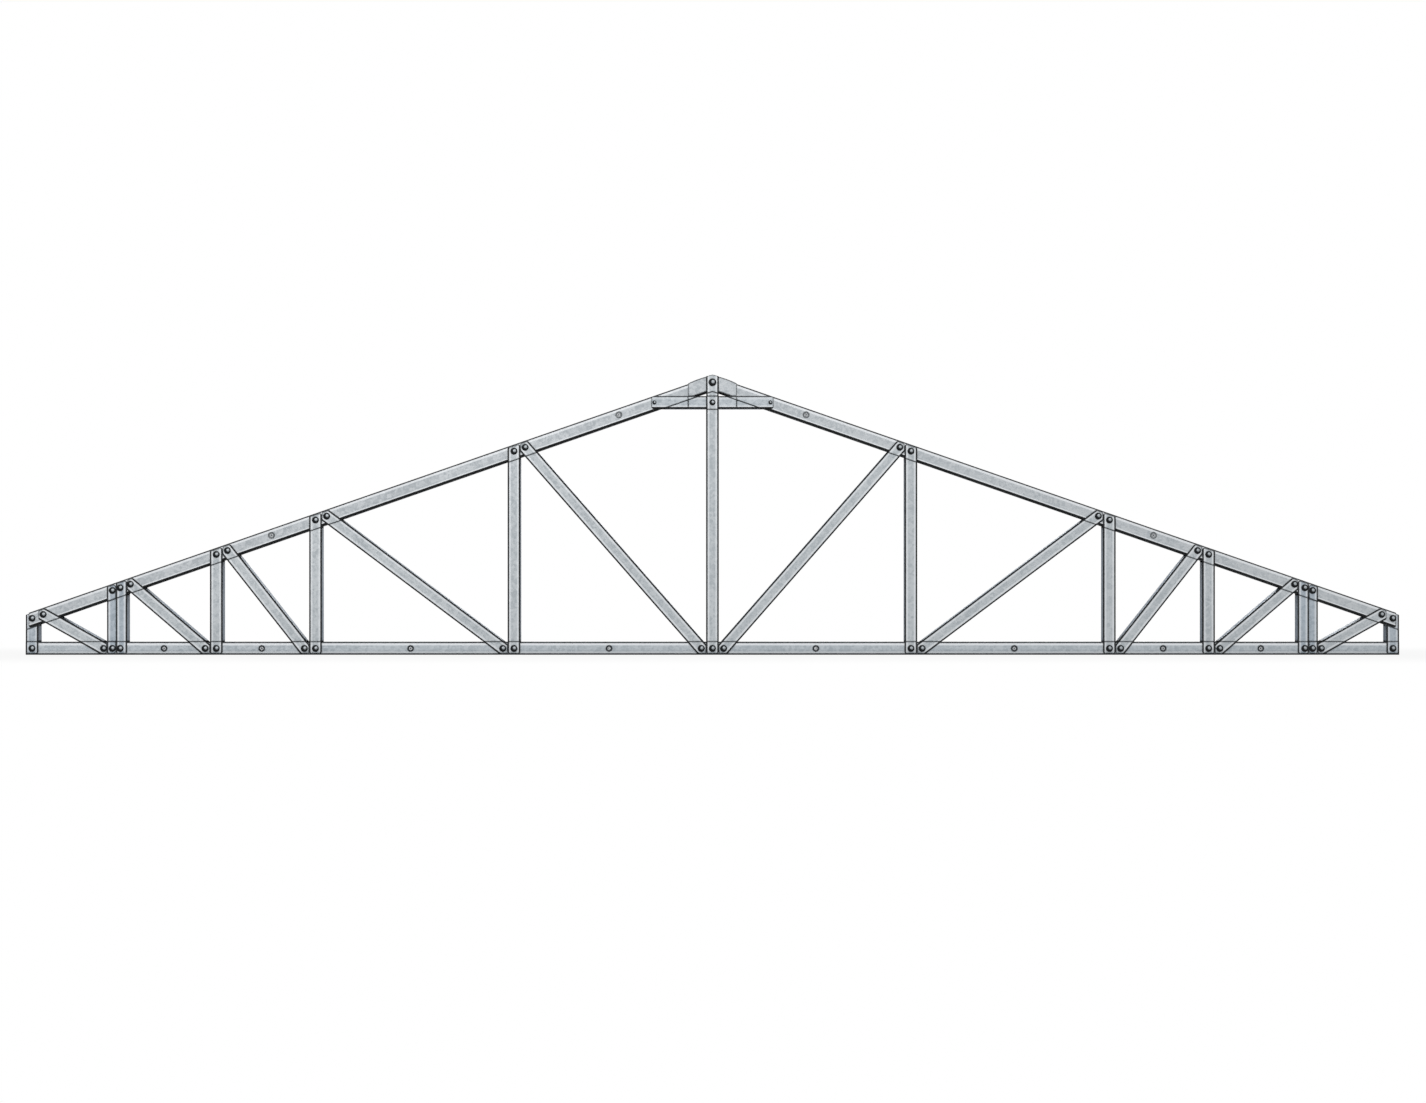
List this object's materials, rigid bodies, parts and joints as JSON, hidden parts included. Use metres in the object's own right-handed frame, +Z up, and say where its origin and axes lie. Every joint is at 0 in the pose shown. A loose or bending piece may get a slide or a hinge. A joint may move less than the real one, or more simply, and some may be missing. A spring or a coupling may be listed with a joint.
{
  "type": "light gauge steel roof truss",
  "caption": "Double-pitched roof truss of galvanised cold-formed C sections: flat bottom chord, sloped top chords, posts and diagonals with riveted lapped ends, collar tie and ridge saddle.",
  "frame": {"origin": "middle of the bottom chord's underside, halfway between its ends and between its front and back faces", "axes": "+Z is up, +X runs along the truss to its right-hand heel, and -Y is the front face"},
  "size_m": [4.8, 0.104, 0.9791],
  "materials": {
    "galvanised_chord": "galvanised, satin, light spangle",
    "galvanised_web": "galvanised, satin, light spangle",
    "galvanised_plate": "galvanised, satin, light spangle",
    "zinc_rivet": "zinc plated, slightly darker than the sheet"
  },
  "bodies": {
    "root": {"bottom_chord": "galvanised_chord", "top_chord_left": "galvanised_chord", "top_chord_right": "galvanised_chord", "king_post": "galvanised_web", "collar_tie": "galvanised_plate", "ridge_saddle": "galvanised_plate", "end_post_left": "galvanised_web", "end_post_right": "galvanised_web", "bearing_post_outer_left": "galvanised_web", "bearing_post_outer_right": "galvanised_web", "bearing_post_inner_left": "galvanised_web", "bearing_post_inner_right": "galvanised_web", "post_1_left": "galvanised_web", "post_2_left": "galvanised_web", "post_3_left": "galvanised_web", "post_1_right": "galvanised_web", "post_2_right": "galvanised_web", "post_3_right": "galvanised_web", "diagonal_1_left": "galvanised_web", "diagonal_2_left": "galvanised_web", "diagonal_3_left": "galvanised_web", "diagonal_4_left": "galvanised_web", "diagonal_5_left": "galvanised_web", "diagonal_1_right": "galvanised_web", "diagonal_2_right": "galvanised_web", "diagonal_3_right": "galvanised_web", "diagonal_4_right": "galvanised_web", "diagonal_5_right": "galvanised_web", "rivets_front": "zinc_rivet", "rivets_back": "zinc_rivet"}
  },
  "joints": []
}
